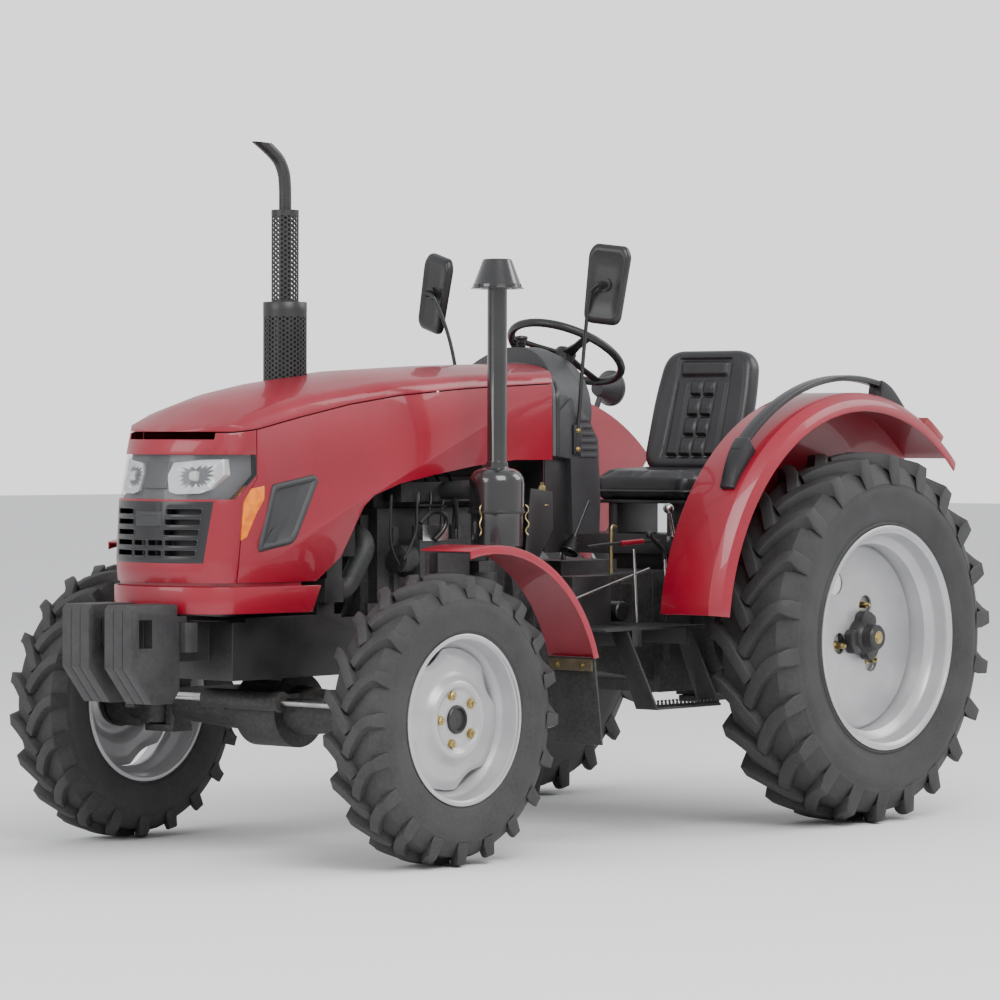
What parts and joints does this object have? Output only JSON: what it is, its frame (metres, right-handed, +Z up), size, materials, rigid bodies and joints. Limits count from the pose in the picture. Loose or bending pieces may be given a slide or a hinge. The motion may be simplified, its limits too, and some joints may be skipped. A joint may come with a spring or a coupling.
{
  "type": "farm tractor",
  "caption": "Compact four-wheel-drive farm tractor with open driver's platform, bar-lug tyres, front weights, side exhaust stack and rear three-point linkage.",
  "frame": {"origin": "on the ground under the middle of the tractor's box", "axes": "+X forward, +Y to the tractor's left, +Z up"},
  "size_m": [3.7279, 1.843, 2.239],
  "materials": {
    "red_paint": "gloss deep red enamel",
    "black_paint": "satin black enamel",
    "engine_paint": "satin charcoal enamel on castings",
    "cast_weight": "satin black enamel on rough castings",
    "rim_silver": "silver grey enamel",
    "tyre": "bar-lug rubber",
    "rubber": "black moulded rubber",
    "black_plastic": "black grained plastic",
    "grille_plastic": "satin black moulded plastic",
    "lamp_clear": "clear lens over bright reflectors",
    "lamp_amber": "amber lens",
    "lamp_red": "dark red lens",
    "vinyl": "black embossed vinyl",
    "bright_steel": "bright ground steel"
  },
  "bodies": {
    "chassis": {"engine": "engine_paint", "engine_fittings": "engine_paint", "radiator": "black_paint", "coolant_hose": "rubber", "transmission": "engine_paint", "lift_housing": "engine_paint", "front_frame": "black_paint", "front_weights": "cast_weight", "front_axle": "engine_paint", "drive_shaft": "black_paint", "silencer": "black_paint", "silencer_guards": "black_paint", "air_cleaner": "black_paint", "dash_cowl": "black_plastic", "steering_column": "black_paint", "mirrors": "black_plastic", "footplates": "black_paint", "rear_fenders": "red_paint", "fender_rails": "black_plastic", "tail_lamps": "lamp_red", "work_lamp": "black_plastic", "seat_cushion": "vinyl", "seat_back": "vinyl", "seat_mount": "black_paint", "controls": "bright_steel", "link_brackets": "engine_paint", "pto_shaft": "bright_steel", "pto_guard": "black_paint", "rear_axle_housings": "engine_paint", "hood_top": "red_paint", "hood_sides": "red_paint", "nose_panel": "red_paint", "grille": "grille_plastic", "headlamps": "lamp_clear", "side_lamps": "lamp_amber", "side_vents": "grille_plastic", "skirt": "red_paint"},
    "steering_wheel": {"steering_wheel": "black_plastic"},
    "steering_rod": {"steering_rod": "bright_steel"},
    "lower_links": {"lower_links": "black_paint"},
    "lift_arms": {"lift_arms": "engine_paint"},
    "lift_rods": {"lift_rods": "black_paint"},
    "top_link": {"top_link": "black_paint"},
    "knuckle_left": {"knuckle_left": "engine_paint", "front_fender_left": "red_paint", "front_flap_left": "rubber"},
    "front_wheel_left": {"front_rim_left": "rim_silver", "front_tyre_left": "tyre"},
    "rear_wheel_left": {"rear_rim_left": "rim_silver", "rear_hub_left": "engine_paint", "rear_tyre_left": "tyre"},
    "knuckle_right": {"knuckle_right": "engine_paint", "front_fender_right": "red_paint", "front_flap_right": "rubber"},
    "front_wheel_right": {"front_rim_right": "rim_silver", "front_tyre_right": "tyre"},
    "rear_wheel_right": {"rear_rim_right": "rim_silver", "rear_hub_right": "engine_paint", "rear_tyre_right": "tyre"}
  },
  "joints": [
    {"name": "steer_left", "type": "hinge", "parent": "chassis", "child": "knuckle_left", "pos_m": [1.064, 0.545, 0.448], "axis": [0, 0, 1], "range_deg": [-35, 35]},
    {"name": "steer_right", "type": "hinge", "parent": "chassis", "child": "knuckle_right", "pos_m": [1.064, -0.545, 0.448], "axis": [0, 0, 1], "range_deg": [-35, 35]},
    {"name": "steering_wheel_turn", "type": "hinge", "parent": "chassis", "child": "steering_wheel", "pos_m": [-0.349, 0, 1.598], "axis": [-0.4924, 0, 0.8704], "range_deg": [-490, 490]},
    {"name": "steering_rod_slide", "type": "slide", "parent": "chassis", "child": "steering_rod", "axis": [0, 1, 0], "range_m": [-0.0952, 0.0952]},
    {"name": "front_wheel_left_spin", "type": "hinge", "parent": "knuckle_left", "child": "front_wheel_left", "pos_m": [1.064, 0.685, 0.448], "axis": [0, 1, 0], "continuous": true},
    {"name": "rear_wheel_left_spin", "type": "hinge", "parent": "chassis", "child": "rear_wheel_left", "pos_m": [-0.966, 0.764, 0.63], "axis": [0, 1, 0], "continuous": true},
    {"name": "front_wheel_right_spin", "type": "hinge", "parent": "knuckle_right", "child": "front_wheel_right", "pos_m": [1.064, -0.685, 0.448], "axis": [0, 1, 0], "continuous": true},
    {"name": "rear_wheel_right_spin", "type": "hinge", "parent": "chassis", "child": "rear_wheel_right", "pos_m": [-0.966, -0.764, 0.63], "axis": [0, 1, 0], "continuous": true},
    {"name": "lower_links_lift", "type": "hinge", "parent": "chassis", "child": "lower_links", "pos_m": [-1.036, 0, 0.43], "axis": [0, 1, 0], "range_deg": [-12, 30]},
    {"name": "lift_arms_turn", "type": "hinge", "parent": "chassis", "child": "lift_arms", "pos_m": [-1.086, 0, 0.905], "axis": [0, 1, 0], "range_deg": [-19.16, 47.6]},
    {"name": "lift_rods_swing", "type": "hinge", "parent": "lift_arms", "child": "lift_rods", "pos_m": [-1.376, 0, 0.85], "axis": [0, 1, 0], "range_deg": [-52.7, 21.2]},
    {"name": "top_link_swing", "type": "hinge", "parent": "chassis", "child": "top_link", "pos_m": [-1.256, 0, 0.8], "axis": [0, 1, 0], "range_deg": [-25, 65]}
  ],
  "couplings": [
    {"joint": "steer_right", "follows": "steer_left", "ratio": 1},
    {"joint": "steering_wheel_turn", "follows": "steer_left", "ratio": 14},
    {"joint": "steering_rod_slide", "follows": "steer_left", "m_per_rad": 0.155},
    {"joint": "lift_arms_turn", "follows": "lower_links_lift", "ratio": 1.58},
    {"joint": "lift_rods_swing", "follows": "lower_links_lift", "ratio": -1.75}
  ]
}
